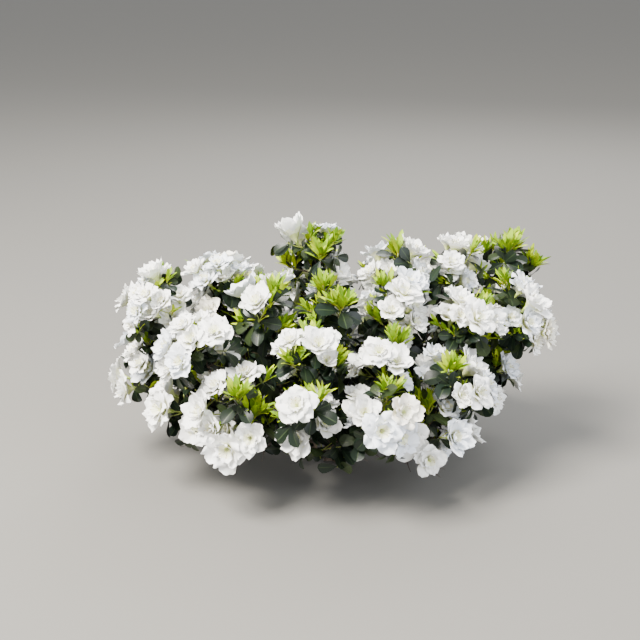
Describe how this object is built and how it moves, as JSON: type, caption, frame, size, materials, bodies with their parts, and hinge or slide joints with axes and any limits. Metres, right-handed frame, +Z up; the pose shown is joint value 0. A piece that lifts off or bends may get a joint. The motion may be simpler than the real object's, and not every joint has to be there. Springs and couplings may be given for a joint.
{
  "type": "azalea shrub",
  "caption": "White azalea shrub in full flower, rooted in the ground: short flared trunk, fanned thin boughs, and a broad low crown of ruffled blossom with dark old and lime young leaves.",
  "frame": {"origin": "middle of the flat cut under the trunk, at ground level", "axes": "+Z up; +X to the right and +Y to the back, seen from the side that the picture shows"},
  "size_m": [0.5869, 0.4959, 0.317],
  "materials": {
    "bark": "rough grey-brown bark",
    "blossom": "soft matt white petals",
    "young_leaf": "satin lime-green leaves"
  },
  "bodies": {
    "root": {"trunk": "bark", "bough_left_crown": "bark", "bough_left_low": "bark", "bough_left_foot": "bark", "bough_left_middle": "bark", "bough_left_front": "bark", "bough_front_left_low": "bark", "bough_centre_left": "bark", "bough_centre_front": "bark", "bough_centre": "bark", "bough_top": "bark", "bough_front_low": "bark", "bough_front_right_low": "bark", "bough_front_right": "bark", "bough_middle_right": "bark", "bough_top_right": "bark", "bough_right_crown": "bark", "bough_right_middle": "bark", "bough_right_tip": "bark", "bough_right_end": "bark", "bough_right_front": "bark", "bough_right_low": "bark", "bough_right_foot": "bark", "bough_left_back_end": "bark", "bough_back_left": "bark", "bough_back_left_low": "bark", "bough_back": "bark", "bough_back_right": "bark", "bough_back_right_low": "bark", "bough_right_back_end": "bark", "foliage_left_crown": "blossom", "foliage_left_low": "blossom", "foliage_left_foot": "blossom", "foliage_left_middle": "blossom", "foliage_left_front": "blossom", "foliage_front_left_low": "blossom", "foliage_centre_left": "young_leaf", "foliage_centre_front": "blossom", "foliage_centre": "young_leaf", "foliage_top": "young_leaf", "foliage_front_low": "blossom", "foliage_front_right_low": "blossom", "foliage_front_right": "blossom", "foliage_middle_right": "blossom", "foliage_top_right": "blossom", "foliage_right_crown": "blossom", "foliage_right_middle": "blossom", "foliage_right_tip": "young_leaf", "foliage_right_end": "blossom", "foliage_right_front": "blossom", "foliage_right_low": "blossom", "foliage_right_foot": "blossom", "foliage_left_back_end": "blossom", "foliage_back_left": "blossom", "foliage_back_left_low": "blossom", "foliage_back": "blossom", "foliage_back_right": "blossom", "foliage_back_right_low": "blossom", "foliage_right_back_end": "blossom"}
  },
  "joints": []
}
